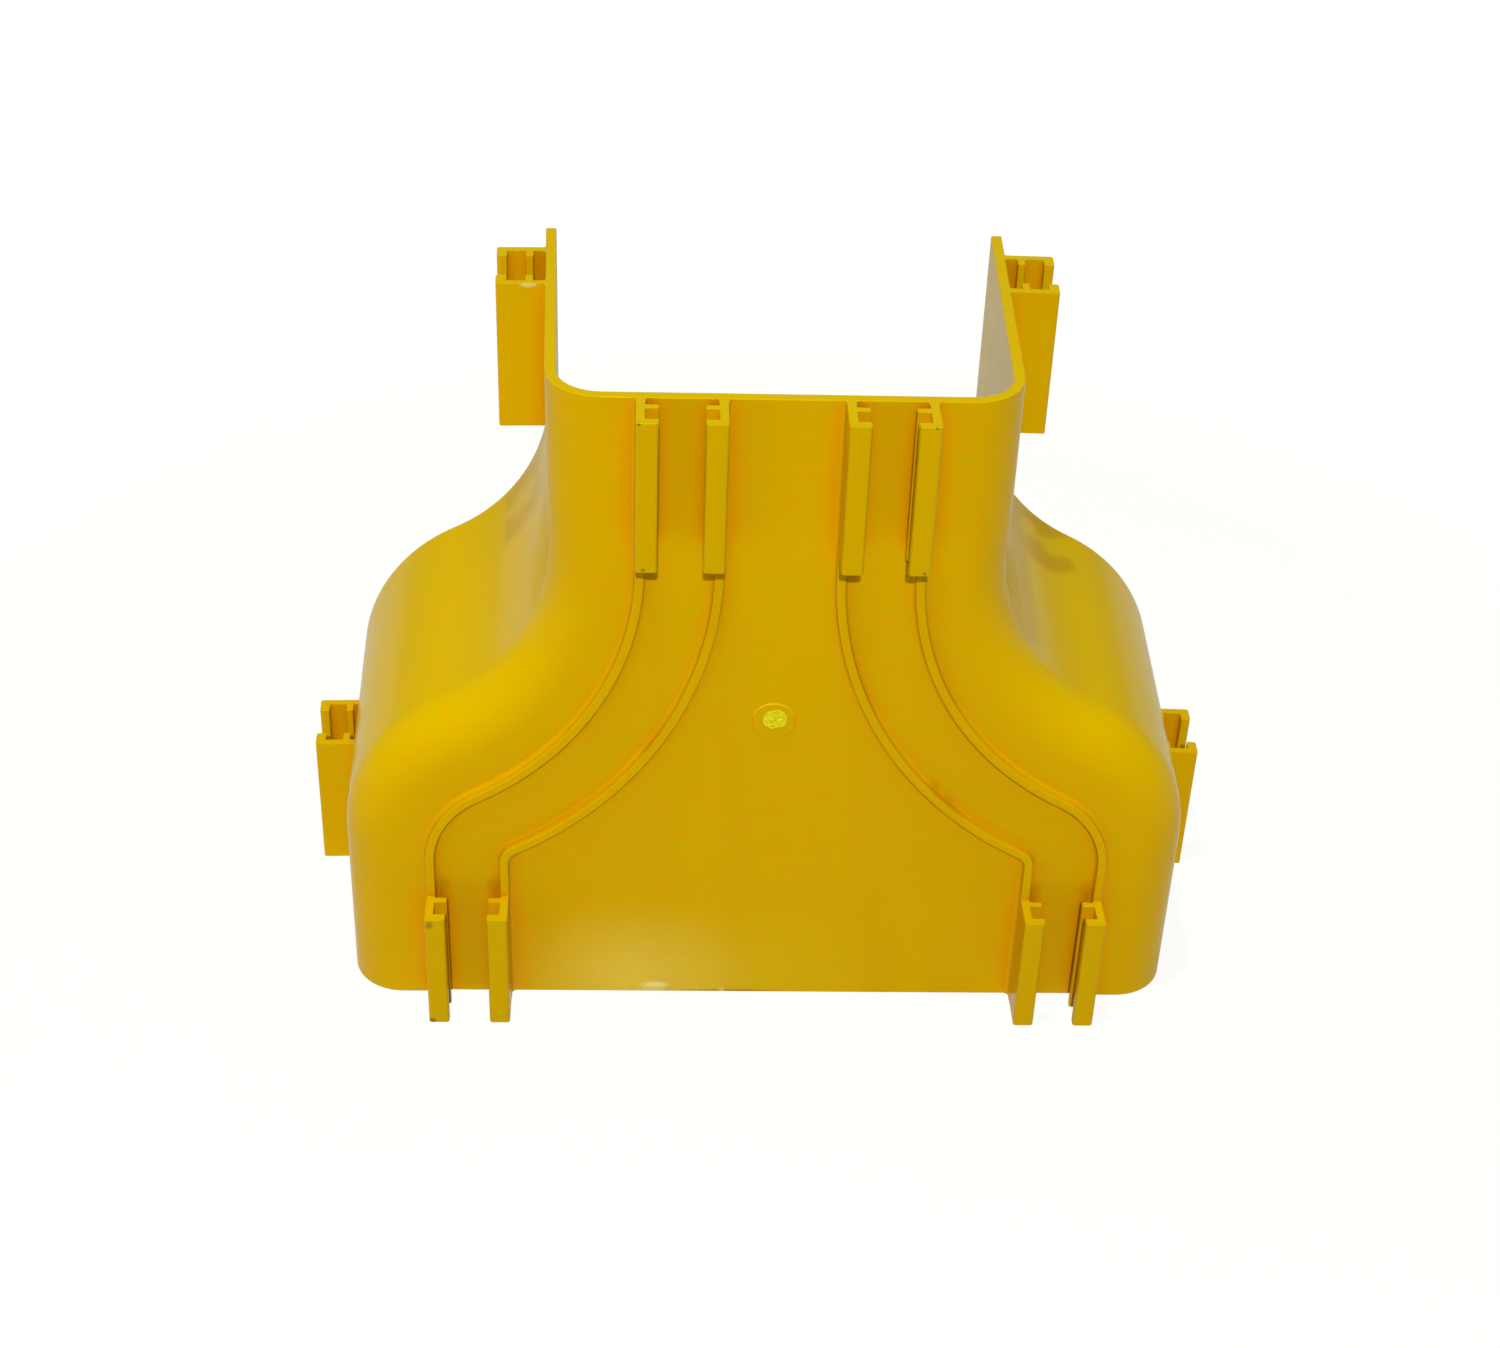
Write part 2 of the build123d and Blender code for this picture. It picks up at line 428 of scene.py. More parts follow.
def channel_section():
    """The channel's whole section, from the floor's middle outside round the right wall and back."""
    lean_out = DEPTH * math.tan(WALL_LEAN)
    across_wall = WALL / math.cos(WALL_LEAN)
    inner_foot = WALL * math.tan(WALL_LEAN) - across_wall
    wall = rounded([
        (-EDGE_STRIP, 0, 0), (0, 0, CORNER_RADIUS), (lean_out, -DEPTH, RIM_RADIUS),
        (lean_out - across_wall, -DEPTH, RIM_RADIUS), (inner_foot, -WALL, CORNER_RADIUS - WALL),
        (-EDGE_STRIP, -WALL, 0)])
    right = [(-PANEL_STEP, 0, 1, 1), (0, 0, 1, 0)]
    right += [(x, y, 0, 0) for x, y in wall]
    right += [(0, -WALL, 1, 0)]
    points, line, falls = [(0, 0, 0)], [1.0], [1.0]
    for side, half in ((1, right), (-1, right[::-1])):
        points += [(x, y, side) for x, y, on, fall in half]
        line += [float(on) for x, y, on, fall in half]
        falls += [float(fall) for x, y, on, fall in half]
        if side == 1:
            points.append((0, -WALL, 0))
            line.append(1.0)
            falls.append(0.0)
    return loose_points("channel_section", points, line=line, falls=falls)


def rib_section(name, side, outer_falls):
    """A rib's section on its middle line, with rounded top edges and feet that feather out."""
    half = RIB_WIDTH / 2
    reach = half + RIB_FOOT_RADIUS
    outline = rounded([
        (-reach, -ROOT, 0), (-reach, -SUNK, 0),
        (-half, 0, RIB_FOOT_RADIUS), (-half, RIB_HEIGHT, RIB_TOP_RADIUS),
        (half, RIB_HEIGHT, RIB_TOP_RADIUS), (half, 0, RIB_FOOT_RADIUS),
        (reach, -SUNK, 0), (reach, -ROOT, 0)])
    below_top = RIB_HEIGHT / 2
    line = [0.0] * len(outline)
    falls = [1.0 if y < below_top and (x < 0 or outer_falls) else 0.0 for x, y in outline]
    return loose_points(name, [(x, y, side) for x, y in outline], line=line, falls=falls)


def hook_outlines(foot_radius):
    """The outlines of two hooks that face each other, standing on the X axis."""
    outer = RAIL_SPAN / 2
    inner = outer - RAIL_WEB
    tip = RAIL_MOUTH_GAP / 2
    lip = JOINER_GAP + INNER_LIP
    top = RAIL_REACH
    corners = [
        (outer, top, RAIL_CORNER_RADIUS), (tip, top, RAIL_CORNER_RADIUS),
        (tip, top - OUTER_LIP, RAIL_EDGE_RADIUS), (inner, top - OUTER_LIP, RAIL_EDGE_RADIUS),
        (inner, lip, RAIL_EDGE_RADIUS), (tip, lip, RAIL_EDGE_RADIUS), (tip, JOINER_GAP, RAIL_EDGE_RADIUS),
        (inner, JOINER_GAP, RAIL_EDGE_RADIUS)]
    if foot_radius:
        foot = foot_radius
        corners += [(inner, 0, foot), (inner - foot, -SUNK, 0), (inner - foot, -ROOT, 0),
                    (outer + foot, -ROOT, 0), (outer + foot, -SUNK, 0), (outer, 0, foot)]
    else:
        corners += [(inner, -ROOT, 0), (outer, -ROOT, 0)]
    right = rounded(corners)
    return [[(x, y, 0) for x, y in right], [(-x, y, 0) for x, y in right[::-1]]]


# Channel, ribs and rails, each a closed shape
sweep = sweep_tree()
rails = rails_tree()
sweep_values = {
    "bend_points": BEND_POINTS, "floor": FLOOR_Y, "panel_fall": PANEL_FALL, "fall_starts": FLARE_MIDDLE,
    "weld": WELD}

wall_line, wall_bends = flare_corners(0, CHANNEL_BENDS)
rib_line, rib_bends = flare_corners(OUTER_RIB_INSET, OUTER_RIB_BENDS)
channel_paths = polylines("channel_paths", (wall_line, rib_line), (wall_bends, rib_bends))
channel = run(sweep, BODY + "_shape", paths=channel_paths, section=channel_section(), **sweep_values)
finished(channel, END_RADIUS)

ribs = []
for rib_name, inset, bends, outer_falls in (
        ("outer_rib", OUTER_RIB_INSET, OUTER_RIB_BENDS, False),
        ("inner_rib", INNER_RIB_INSET, INNER_RIB_BENDS, True)):
    line, radii = flare_corners(inset, bends, 2 * FLUSH_GAP)
    path = polylines(rib_name + "_path", [line], [radii])
    for side in (1, -1):
        section = rib_section(rib_name + "_section", side, outer_falls)
        ribs.append(finished(run(sweep, rib_name, paths=path, section=section, **sweep_values)))

floor_seats, wall_seats = [], []
for side in (1, -1):
    neck_z = LENGTH - NECK_FLOOR_RAIL_LENGTH
    floor_seats.append(((side * NECK_RAIL_X, FLOOR_Y, neck_z), math.pi, NECK_FLOOR_RAIL_LENGTH))
    floor_seats.append(((side * MOUTH_RAIL_X, FLOOR_Y, FLUSH_GAP), math.pi, MOUTH_FLOOR_RAIL_LENGTH))
    for half_width, z in ((NECK_HALF_WIDTH, LENGTH - WALL_RAIL_LENGTH), (MOUTH_HALF_WIDTH, FLUSH_GAP)):
        foot_x = half_width + WALL_RAIL_HEIGHT * math.tan(WALL_LEAN)
        turn = -side * (math.pi / 2 + WALL_LEAN)
        wall_seats.append(((side * foot_x, FLOOR_Y + WALL_RAIL_HEIGHT, z), turn, WALL_RAIL_LENGTH))

rail_pieces = []
for rail_name, seats, foot_radius in (
        ("floor_rails", floor_seats, 0), ("wall_rails", wall_seats, RAIL_FOOT_RADIUS)):
    hooks = polylines(rail_name + "_hooks", hook_outlines(foot_radius), closed=True)
    places = loose_points(rail_name + "_seats", [place for place, turn, length in seats],
                          turn=[turn for place, turn, length in seats],
                          length=[length - FLUSH_GAP for place, turn, length in seats])
    rail_piece = run(rails, rail_name, hooks=hooks, seats=places, weld=WELD)
    rail_pieces.append(finished(rail_piece, RAIL_END_RADIUS))


# Gate pad and torn stub

def turned(name, look, profile, centre, shift=None):
    """A closed solid turned about the line through centre along Y, from rings (radius, level)."""
    shape = bmesh.new()
    rings = []
    for radius, level in profile:
        ring = []
        for k in range(ROUND_SEGMENTS):
            angle = math.tau * k / ROUND_SEGMENTS
            offset = Vector((radius * math.cos(angle), -level, radius * math.sin(angle)))
            ring.append(shape.verts.new(centre + (shift(offset) if shift else offset)))
        rings.append(ring)
    for low, high in zip(rings, rings[1:]):
        for k in range(ROUND_SEGMENTS):
            after = (k + 1) % ROUND_SEGMENTS
            shape.faces.new((low[k], low[after], high[after], high[k]))
    shape.faces.new(rings[0])
    shape.faces.new(rings[-1])
    bmesh.ops.recalc_face_normals(shape, faces=shape.faces)
    mesh = bpy.data.meshes.new(name)
    shape.to_mesh(mesh)
    shape.free()
    mesh.materials.append(look)
    return link(bpy.data.objects.new(name, mesh))


def waver(place, scale, reach):
    """Smooth noise of the torn stub at a place, at most reach either way."""
    return noise.noise(place * scale + STUB_SEED) * reach


def torn_shift(offset):
    """Frays the stub's outline and breaks up its top."""
    edge = waver(offset.normalized(), *STUB_OUTLINE)
    fray = waver(offset / MM, *STUB_FRAY)
    moved = Vector((offset.x * (1.0 + edge + fray), offset.y, offset.z * (STUB_SQUASH + edge + fray)))
    if offset.y < 0:
        moved.y += waver(offset / MM, *STUB_LUMPS) + waver(offset / MM, *STUB_PITS)
    return moved


gate_centre = Vector((0.0, FLOOR_Y, FLARE_MIDDLE))
pad_profile = [(GATE_RADIUS, -ROOT)]
for step in range(GATE_EDGE_STEPS + 1):
    angle = math.pi / 2 * step / GATE_EDGE_STEPS
    edge_radius = GATE_RADIUS - GATE_EDGE_RADIUS * (1 - math.cos(angle))
    pad_profile.append((edge_radius, GATE_HEIGHT - GATE_EDGE_RADIUS * (1 - math.sin(angle))))
pad = turned("gate_pad", plastic, pad_profile, gate_centre)

stub_top = GATE_HEIGHT + STUB_HEIGHT
rim_radius, top_radius = (STUB_RADIUS * share for share in STUB_TOP_SHARES)
stub_profile = [(STUB_RADIUS, -ROOT / 2), (STUB_RADIUS, 0), (rim_radius, stub_top)]
stub_profile += [(top_radius * (1 - ring / STUB_RINGS), stub_top) for ring in range(STUB_RINGS)]
stub = turned("torn_stub", torn, stub_profile, gate_centre + STUB_OFFSET, torn_shift)

# One moulding: everything joined to the channel, and the drafts put away
for piece in [pad, stub] + ribs + rail_pieces:
    joint = channel.modifiers.new(piece.name, "BOOLEAN")
    joint.operation = "UNION"
    joint.solver = "MANIFOLD"
    joint.material_mode = "TRANSFER"
    joint.object = piece
joined = plain(channel, BODY + "_shape")
looks = [joined.materials[face.material_index] for face in joined.polygons]
joined.materials.clear()
joined.materials.append(plastic)
joined.materials.append(torn)
joined.polygons.foreach_set("material_index", [int(look == torn) for look in looks])
for draft in [made for made in bpy.context.scene.objects if made not in frame_objects]:
    bpy.data.objects.remove(draft)

moulding = link(bpy.data.objects.new(BODY + "_moulding", joined))
joined.shade_smooth()
joined.set_sharp_from_angle(angle=SMOOTH_BELOW)
weighted = moulding.modifiers.new("flat_faces_stay_flat", "WEIGHTED_NORMAL")
weighted.keep_sharp = True

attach(moulding, "root")
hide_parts(BODY)


# Plastic

# Colours
WHITE = (1.0, 1.0, 1.0)
YELLOW = (0.60, 0.352, 0.0)
GREENISH = (0.572, 0.362, 0.0)
ORANGE = (0.632, 0.334, 0.0)
RAIL_FRONT_DULL = (0.53, 0.335, 0.0)
GATE_GLINT = (0.74, 0.50, 0.01)
# Painted shade in creases and corners; the third colour also darkens a line along the panel's bottom edge
CREASE_SHADE_ORANGE = (0.70, 0.29, 0.0)
DEEP_CREASE_SHADE = (0.50, 0.20, 0.0)
SHADE_LINE_AND_EDGE_BROWN = (0.26, 0.10, 0.0)
# Painted shade in the floor rails' slots, more orange than in the other creases
SLOT_SHADE_ORANGE = (0.66, 0.31, 0.0)
# Painted sheen: pale on a patch low at the panel's left, lemon over the lower panel
PALE_SHEEN = (0.69, 0.50, 0.065)
LEMON_SHEEN = (0.61, 0.40, 0.005)
SHADE = (0.42, 0.20, 0.0)
DIRT = (0.16, 0.10, 0.01)
SCUFF = (0.72, 0.58, 0.20)
# Painted highlight near the panel's bottom edge
GLINT_WHITE = (0.90, 0.80, 0.40)
TORN_DULL = (0.55, 0.45, 0.0)
TORN_BRIGHT = (0.68, 0.60, 0.0)
TORN_GLINT = (0.92, 0.82, 0.02)

# Noises: scale a metre, detail, and roughness where it isn't a half. Most values are in NOISE_RANGE
BLOTCH = (22.0, 2.0)
MOTTLE = (240.0, 3.0)
GRAIN = (1400.0, 2.0)
TEXTURE = (2600.0, 2.0)
TORN_LUMPS = (1500.0, 3.0, 0.6)
TORN_GRAIN = (5000.0, 2.0)
NOISE_MIDDLE = 0.5
NOISE_RANGE = (0.3, 0.7)

# Mottling: the finer noises' shares in the speckle, and from which value to which colours set in
MOTTLE_SHARE = 0.25
GRAIN_SHARE = 0.35
TEXTURE_SHARE = 0.4
BLOTCH_RANGE = (0.35, 0.65)
BLOTCH_COVER = 0.35
ORANGE_RANGE = (0.5, 0.56)
GREENISH_RANGE = (0.5, 0.44)
TORN_BRIGHT_RANGE = (0.42, 0.58)
TORN_GLINT_RANGE = (0.5, 0.62)
TORN_GLINT_COVER = 0.8

# Gloss and bumps
REFRACTION = 1.5
GLOSS = 0.13
GLOSS_TINT = (1.0, 0.6, 0.0, 1.0)
TORN_GLOSS = 0.15
ROUGHNESS = (0.15, 0.23)
SHEEN_PATCH_ROUGHNESS = 0.12
TORN_ROUGHNESS = (0.45, 0.7)
FINE_BUMP = {"Strength": 0.12, "Distance": 0.02 * MM}
WAVE_BUMP = {"Strength": 0.25, "Distance": 0.3 * MM}
TORN_BUMP = {"Strength": 0.7, "Distance": 0.2 * MM}
TORN_GRAIN_HEIGHT = 0.3

# Depths behind the rails' front where it turns dull, and how softly rails begin at ends and off the floor
DULL_DEPTHS = (2.0 * MM, 1.0 * MM)
DULL_COVER = 0.6
RAIL_END_BLEND = 0.4 * MM
RAIL_FOOT_DEPTHS = (0.3 * MM, 1.2 * MM)

# Painted shade in creases and slots, and a painted highlight on the gate pad's edge: region, reach of
# the rays, from which open share to which, cover and colour
OCCLUSION_RAYS = 8
CREASE_REACH = 10.0 * MM
LINE_REACH = 1.2 * MM
CREASES = (
    ("elsewhere", CREASE_REACH, 0.86, 0.6, 0.75, CREASE_SHADE_ORANGE),
    ("elsewhere", CREASE_REACH, 0.62, 0.42, 0.8, DEEP_CREASE_SHADE),
    ("elsewhere", LINE_REACH, 0.75, 0.4, 0.6, SHADE_LINE_AND_EDGE_BROWN),
    ("on_gate", LINE_REACH, 0.85, 0.6, 1.0, GATE_GLINT),
    ("on_rails", CREASE_REACH, 0.86, 0.5, 1.0, SLOT_SHADE_ORANGE),
)

# Broad areas: middle and half sizes in millimetres, how far noise frays them, and their cover. The
# first is the gate pad's upper half; the other two are painted sheen low on the panel
GATE_TOP = ((0.0, -43.2, 105.5), (7.0, 3.0, 5.0))
LOW_SHEEN = ((-5.0, -42.7, 0.0), (50.0, 4.0, 40.0))
LOW_SHEEN_FRAY = 0.3
LOW_SHEEN_COVER = 0.9
SHEEN_PATCH = ((-38.0, -42.7, 5.0), (37.0, 4.0, 30.0))
SHEEN_PATCH_FRAY = 0.25
SHEEN_PATCH_COVER = 0.8

# Small marks: middle and half sizes in millimetres, cover and colour. Each is full within a share of
# its size and ends at the rim, which the grain frays. The shade marks are painted shade, and the glint
# is a painted highlight
MARK_FULL_WITHIN = 0.35
MARK_RIM = 1.25
MARK_FRAY = 1.2
MARKS = {
    "rib_shade_high": ((45.5, -43.0, 77.8), (2.6, 2.0, 2.8), 0.35, SHADE),
    "rib_shade_low": ((49.5, -43.0, 72.8), (2.8, 2.0, 2.6), 0.35, SHADE),
    "shade_above_rail_1": ((-93.2, -43.2, 40.8), (2.8, 1.5, 3.4), 0.45, SHADE),
    "shade_above_rail_2": ((-78.2, -43.2, 40.8), (2.6, 1.5, 3.6), 0.45, SHADE),
    "shade_above_rail_3": ((78.2, -43.2, 40.8), (2.6, 1.5, 3.4), 0.3, SHADE),
    "shade_above_rail_4": ((93.2, -43.2, 40.8), (2.6, 1.5, 3.4), 0.3, SHADE),
    # A darker line along the panel's bottom edge
    "dark_line_on_panel_edge": ((-9.0, -42.6, 0.6), (16.0, 0.7, 0.5), 0.5, SHADE_LINE_AND_EDGE_BROWN),
    "glint_near_edge": ((-31.7, -42.6, 2.6), (4.2, 0.7, 1.3), 0.6, GLINT_WHITE),
    "smudge_on_mouth_rail": ((-96.1, -56.8, 37.0), (1.3, 1.0, 1.6), 0.55, DIRT),
    "dark_rail_corner": ((-96.6, -56.8, 0.6), (1.2, 1.2, 1.4), 0.8, DIRT),
    "speck_first_rail": ((-37.6, -56.8, 200.1), (0.5, 0.5, 0.4), 0.9, DIRT),
    "speck_rail_lip": ((-32.6, -43.2, 190.6), (0.4, 0.6, 0.5), 0.8, DIRT),
    "speck_first_rail_end": ((-36.3, -56.8, 157.4), (0.5, 0.5, 0.6), 0.8, DIRT),
    "speck_fourth_rail": ((36.9, -56.8, 200.2), (0.5, 0.5, 0.4), 0.9, DIRT),
    "speck_floor": ((33.5, -43.2, 152.4), (0.4, 0.5, 0.4), 0.7, DIRT),
    "speck_fourth_rail_end": ((36.7, -56.8, 157.4), (0.5, 0.5, 0.6), 0.8, DIRT),
    "scuffed_wall_rail_end": ((-68.6, 20.3, 200.2), (2.4, 0.7, 0.8), 0.8, SCUFF),
    "scuffed_panel_edge": ((-32.0, -42.6, 0.9), (3.6, 0.6, 0.9), 0.7, SCUFF),
    "nicked_panel_edge": ((-11.8, -42.6, 0.9), (1.0, 0.6, 0.9), 0.7, SCUFF),
}


def emptied(owner):
    """The node tree of a material or a world, with no nodes in it."""
    owner.use_nodes = True
    owner.node_tree.nodes.clear()
    return owner.node_tree


def noise_at(tree, place, scale, detail, roughness=0.5):
    return put(tree, "ShaderNodeTexNoise", {
        "Vector": place, "Scale": scale, "Detail": detail, "Roughness": roughness}).outputs[0]


def spread(tree, value, low, high, to_low=0.0, to_high=1.0):
    """Maps low to high smoothly onto two other values."""
    return put(tree, "ShaderNodeMapRange", {
        "Value": value, "From Min": low, "From Max": high, "To Min": to_low, "To Max": to_high},
        interpolation_type="SMOOTHSTEP").outputs[0]


def tint(tree, share, colour, over):
    """Lays a colour, or a linked one, over another by a share."""
    top = (*over, 1.0) if isinstance(over, tuple) else over
    base = (*colour, 1.0) if isinstance(colour, tuple) else colour
    return put(tree, "ShaderNodeMix", {0: share, 6: base, 7: top}, data_type="RGBA").outputs[2]


def mark_share(tree, place, fray, middle, half_sizes, full_within):
    """How strongly a mark covers a place: 1 within a share of its size, 0 past its frayed rim."""
    offset = vectors(tree, "SUBTRACT", place, tuple(c * MM for c in middle))
    scaled = vectors(tree, "DIVIDE", offset, tuple(c * MM for c in half_sizes))
    reach = put(tree, "ShaderNodeVectorMath", {0: scaled}, operation="LENGTH").outputs["Value"]
    return spread(tree, maths(tree, "ADD", reach, fray), MARK_RIM, full_within)


def mottled(tree, blotch, mottle, grain, texture):
    """Yellow with broad greenish blotches, and with fine speckles of orange and green."""
    speckle = maths(tree, "MULTIPLY", mottle, MOTTLE_SHARE)
    for finer, share in ((grain, GRAIN_SHARE), (texture, TEXTURE_SHARE)):
        speckle = maths(tree, "ADD", speckle, maths(tree, "MULTIPLY", finer, share))
    colour = tint(tree, spread(tree, blotch, *BLOTCH_RANGE, 0.0, BLOTCH_COVER), YELLOW, GREENISH)
    colour = tint(tree, spread(tree, speckle, *ORANGE_RANGE), colour, ORANGE)
    return tint(tree, spread(tree, speckle, *GREENISH_RANGE), colour, GREENISH)


def on_floor_rails(tree, level, height):
    """1 on the hooks of the floor's rails, and 0 on the floor itself and all along the flare."""
    neck_foot = LENGTH - NECK_FLOOR_RAIL_LENGTH
    at_mouth = spread(tree, height, MOUTH_FLOOR_RAIL_LENGTH + RAIL_END_BLEND, MOUTH_FLOOR_RAIL_LENGTH)
    at_neck = spread(tree, height, neck_foot - RAIL_END_BLEND, neck_foot)
    off_floor = spread(tree, level, *(FLOOR_Y - depth for depth in RAIL_FOOT_DEPTHS))
    return maths(tree, "MULTIPLY", maths(tree, "ADD", at_mouth, at_neck), off_floor)


def creased(tree, colour, on_gate, on_rails):
    """Paints shade into creases and the rails' slots, by the open share of what a place sees near by,
    and a highlight on the gate pad's upper edge.
    """
    elsewhere = maths(tree, "SUBTRACT", 1.0, maths(tree, "ADD", on_gate, on_rails))
    regions = {"on_gate": on_gate, "on_rails": on_rails, "elsewhere": elsewhere}
    open_shares = {}
    for reach in (CREASE_REACH, LINE_REACH):
        rays = put(tree, "ShaderNodeAmbientOcclusion", {"Distance": reach}, samples=OCCLUSION_RAYS,
                   only_local=True)
        open_shares[reach] = rays.outputs["AO"]
    for region, reach, open_from, closed_to, cover, painted_colour in CREASES:
        closed = spread(tree, open_shares[reach], open_from, closed_to, 0.0, cover)
        colour = tint(tree, maths(tree, "MULTIPLY", closed, regions[region]), colour, painted_colour)
    return colour


def fill_plastic(material):
    """Semi-gloss moulded plastic: mottling, fine grain, painted shade in creases, painted sheen low on
    the panel, and the marks.
    """
    tree = emptied(material)
    place = put(tree, "ShaderNodeTexCoord").outputs["Object"]
    axes = put(tree, "ShaderNodeSeparateXYZ", {0: place}).outputs
    blotch = noise_at(tree, place, *BLOTCH)
    mottle = noise_at(tree, place, *MOTTLE)
    grain = noise_at(tree, place, *GRAIN)
    texture = noise_at(tree, place, *TEXTURE)

    colour = mottled(tree, blotch, mottle, grain, texture)
    dull_from, dull_to = (RAIL_FRONT + depth for depth in DULL_DEPTHS)
    on_front = spread(tree, axes["Y"], dull_from, dull_to, 0.0, DULL_COVER)
    colour = tint(tree, on_front, colour, RAIL_FRONT_DULL)
    on_gate = mark_share(tree, place, 0.0, *GATE_TOP, 1.0)
    colour = creased(tree, colour, on_gate, on_floor_rails(tree, axes["Y"], axes["Z"]))

    # Painted sheen over the lower panel and on a patch low at its left, which is also rougher
    low_sheen = mark_share(tree, place, maths(tree, "MULTIPLY", blotch, LOW_SHEEN_FRAY), *LOW_SHEEN, 0.0)
    colour = tint(tree, maths(tree, "MULTIPLY", low_sheen, LOW_SHEEN_COVER), colour, LEMON_SHEEN)
    sheen_patch = mark_share(tree, place, maths(tree, "MULTIPLY", grain, SHEEN_PATCH_FRAY), *SHEEN_PATCH, 0.0)
    colour = tint(tree, maths(tree, "MULTIPLY", sheen_patch, SHEEN_PATCH_COVER), colour, PALE_SHEEN)
    fray = maths(tree, "MULTIPLY", maths(tree, "SUBTRACT", grain, NOISE_MIDDLE), MARK_FRAY)
    for middle, half_sizes, cover, mark_colour in MARKS.values():
        share = mark_share(tree, place, fray, middle, half_sizes, MARK_FULL_WITHIN)
        colour = tint(tree, maths(tree, "MULTIPLY", share, cover), colour, mark_colour)

    uneven = spread(tree, mottle, *NOISE_RANGE, *ROUGHNESS)
    roughness = maths(tree, "ADD", uneven, maths(tree, "MULTIPLY", sheen_patch, SHEEN_PATCH_ROUGHNESS))
    fine = put(tree, "ShaderNodeBump", {"Height": texture, **FINE_BUMP})
    waves = put(tree, "ShaderNodeBump", {"Height": blotch, "Normal": fine.outputs[0], **WAVE_BUMP})
    shader = put(tree, "ShaderNodeBsdfPrincipled", {
        "Base Color": colour, "Roughness": roughness, "IOR": REFRACTION, "Specular IOR Level": GLOSS,
        "Specular Tint": GLOSS_TINT, "Normal": waves.outputs[0]})
    put(tree, "ShaderNodeOutputMaterial", {"Surface": shader.outputs[0]})


def fill_torn(material):
    """Rough bright plastic where the runner was torn off."""
    tree = emptied(material)
    place = put(tree, "ShaderNodeTexCoord").outputs["Object"]
    lumps = noise_at(tree, place, *TORN_LUMPS)
    grain = noise_at(tree, place, *TORN_GRAIN)
    colour = tint(tree, spread(tree, lumps, *TORN_BRIGHT_RANGE), TORN_DULL, TORN_BRIGHT)
    glints = spread(tree, grain, *TORN_GLINT_RANGE, 0.0, TORN_GLINT_COVER)
    colour = tint(tree, glints, colour, TORN_GLINT)
    height = maths(tree, "ADD", lumps, maths(tree, "MULTIPLY", grain, TORN_GRAIN_HEIGHT))
    rough_surface = put(tree, "ShaderNodeBump", {"Height": height, **TORN_BUMP})
    roughness = spread(tree, grain, *NOISE_RANGE, *TORN_ROUGHNESS)
    shader = put(tree, "ShaderNodeBsdfPrincipled", {
        "Base Color": colour, "Roughness": roughness, "IOR": REFRACTION,
        "Specular IOR Level": TORN_GLOSS, "Normal": rough_surface.outputs[0]})
    put(tree, "ShaderNodeOutputMaterial", {"Surface": shader.outputs[0]})


fill_plastic(plastic)
fill_torn(torn)


# Ground, white surroundings, lamps and camera

# Ground and sky. Both show white to the camera, and a share of that white in gloss. The ground's white
# grows with the distance from the object, so that a trace of its shadow is left near by
GLOSSY_SHARE = 0.16
GROUND_HALF_SIZE = 3.0
GROUND_COLOUR = (0.6, 0.55, 0.47, 1.0)
GROUND_GLOW = 1.1
GROUND_DISTANCES = (0.3, 0.8)
GROUND_WHITES = (0.8, 1.0)
SKY_COLOUR = (1.0, 0.7, 0.5)
SKY_LEVEL = 0.1

# Lamps: offset from what they are aimed at, size, level and colour. Soft ones don't show in gloss
BETWEEN_WALLS = Vector((0, 0, 110 * MM))
KEY_LAMP = ("key", (-0.06, -1.66, 1.37), 0.04, 0.70, WHITE)
SOFT_LAMPS = (
    ("left_fill", (-1.5, 0.5, 0.4), 0.8, 0.34, (0.9, 1.0, 0.85)),
    ("right_fill", (1.5, 0.5, 0.4), 0.8, 0.24, (0.82, 1.0, 0.8)),
    ("left_front", (-0.55, -0.45, 0.12), 0.25, 0.06, (1.0, 0.85, 0.7)),
    ("back_fill", (0.0, 1.7, 0.05), 0.8, 0.35, (1.0, 0.95, 0.8)),
    ("ceiling", (-0.1, -0.3, 1.6), 0.8, 0.3, (0.85, 1.0, 0.8)),
)
OVERHEAD_LAMP = ("overhead", (-0.075, -0.125, 1.0), 0.03, 0.36, (0.62, 1.0, 0.9))

# Camera: place in metres, turn in degrees, and lens and sensor in millimetres
CAMERA_PLACE = (-34.002 * MM, -605.212 * MM, 504.896 * MM)
CAMERA_TURN = (55.3178, -1.8142, -1.4993)
CAMERA_LENS = 60.303
CAMERA_SENSOR = 36.0


def seen_as_white(tree):
    """1 for what the camera sees directly, and a small share for what it sees in gloss."""
    rays = put(tree, "ShaderNodeLightPath").outputs
    reflected = maths(tree, "MULTIPLY", rays["Is Glossy Ray"], GLOSSY_SHARE)
    return maths(tree, "MAXIMUM", rays["Is Camera Ray"], reflected)


def fill_ground(material):
    """Pale ground that shows white to the camera and keeps a trace of the object's shadow."""
    tree = emptied(material)
    place = put(tree, "ShaderNodeTexCoord").outputs["Object"]
    distance = put(tree, "ShaderNodeVectorMath", {0: place}, operation="LENGTH").outputs["Value"]
    near, far = GROUND_DISTANCES
    near_white, far_white = GROUND_WHITES
    clear = put(tree, "ShaderNodeMapRange", {
        "Value": distance, "From Min": near, "From Max": far, "To Min": near_white, "To Max": far_white})
    share = maths(tree, "MULTIPLY", seen_as_white(tree), clear.outputs[0])
    dull = put(tree, "ShaderNodeBsdfDiffuse", {"Color": GROUND_COLOUR})
    glow = put(tree, "ShaderNodeEmission", {"Strength": GROUND_GLOW})
    mixed = put(tree, "ShaderNodeMixShader", {0: share, 1: dull.outputs[0], 2: glow.outputs[0]})
    put(tree, "ShaderNodeOutputMaterial", {"Surface": mixed.outputs[0]})


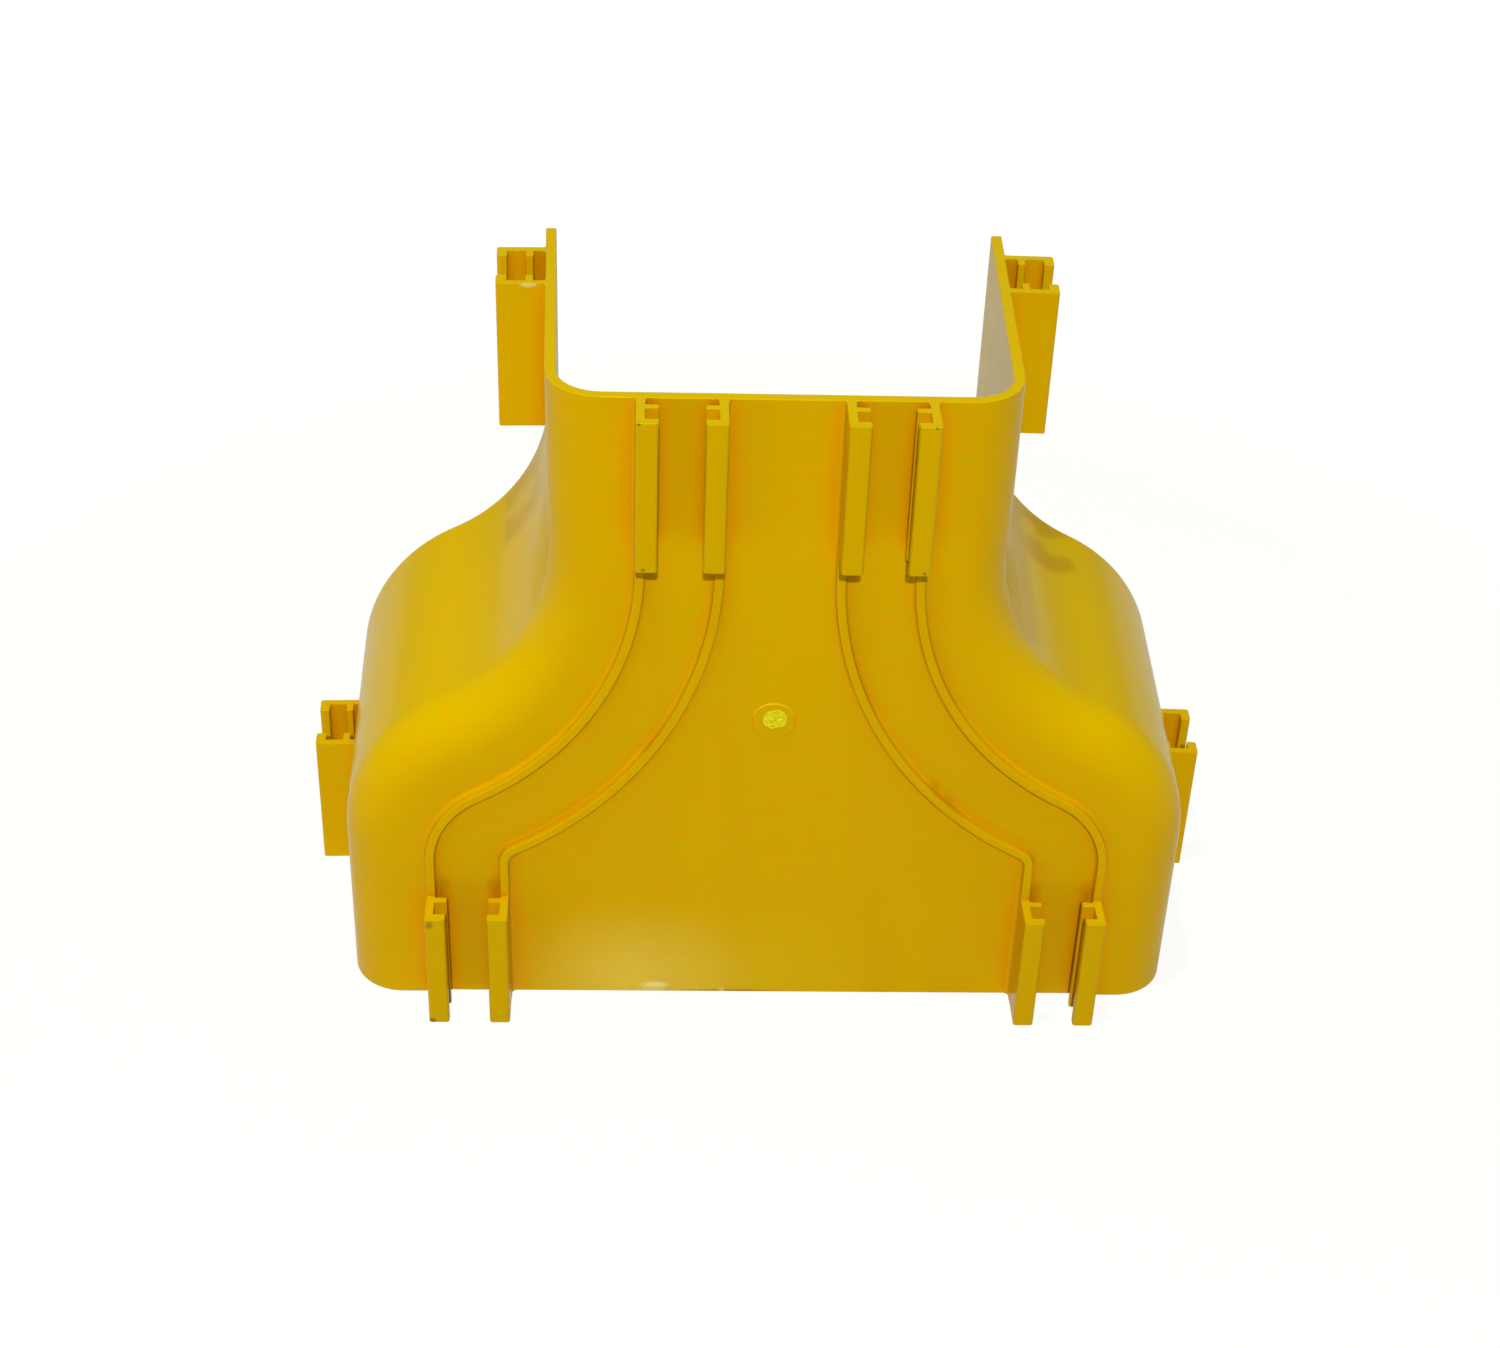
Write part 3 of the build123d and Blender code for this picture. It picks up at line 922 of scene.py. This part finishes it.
def fill_world(world):
    """A weak warm sky that shows white to the camera."""
    tree = emptied(world)
    share = seen_as_white(tree)
    level = maths(tree, "ADD", maths(tree, "MULTIPLY", share, 1.0 - SKY_LEVEL), SKY_LEVEL)
    colour = tint(tree, share, SKY_COLOUR, WHITE)
    sky = put(tree, "ShaderNodeBackground", {"Color": colour, "Strength": level})
    put(tree, "ShaderNodeOutputWorld", {"Surface": sky.outputs[0]})


def lamp(target, name, offset, size, level, colour):
    """A round lamp, turned to its target, that lights a white card there to the given level."""
    light = bpy.data.lights.new(name, "AREA")
    light.shape = "DISK"
    light.size = size
    light.energy = level * (math.pi * Vector(offset).length) ** 2
    light.color = colour
    made = link(bpy.data.objects.new(name, light))
    made.location = target + Vector(offset)
    made.rotation_euler = (-Vector(offset)).to_track_quat("-Z", "Y").to_euler()
    return made


ground_mesh = bpy.data.meshes.new("ground")
half = GROUND_HALF_SIZE
ground_mesh.from_pydata([(-half, -half, 0), (half, -half, 0), (half, half, 0), (-half, half, 0)], [],
                        [(0, 1, 2, 3)])
ground = link(bpy.data.objects.new("ground", ground_mesh))
ground_look = bpy.data.materials.new("pale_ground")
fill_ground(ground_look)
ground_mesh.materials.append(ground_look)
ground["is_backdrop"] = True

studio = bpy.data.worlds.new("white_studio")
bpy.context.scene.world = studio
fill_world(studio)

floor_middle = Vector((0, FLOOR_Y, FLARE_MIDDLE))
lamp(floor_middle, *KEY_LAMP)
for values in SOFT_LAMPS:
    soft_lamp = lamp(floor_middle, *values)
    soft_lamp.visible_glossy = False
    soft_lamp.visible_camera = False
lamp(BETWEEN_WALLS, *OVERHEAD_LAMP)

camera_data = bpy.data.cameras.new("camera")
camera_data.lens = CAMERA_LENS
camera_data.sensor_width = CAMERA_SENSOR
camera = link(bpy.data.objects.new("camera", camera_data))
camera.location = CAMERA_PLACE
camera.rotation_euler = Euler([math.radians(a) for a in CAMERA_TURN], "XYZ")
bpy.context.scene.camera = camera
bpy.context.scene.view_settings.view_transform = "Standard"
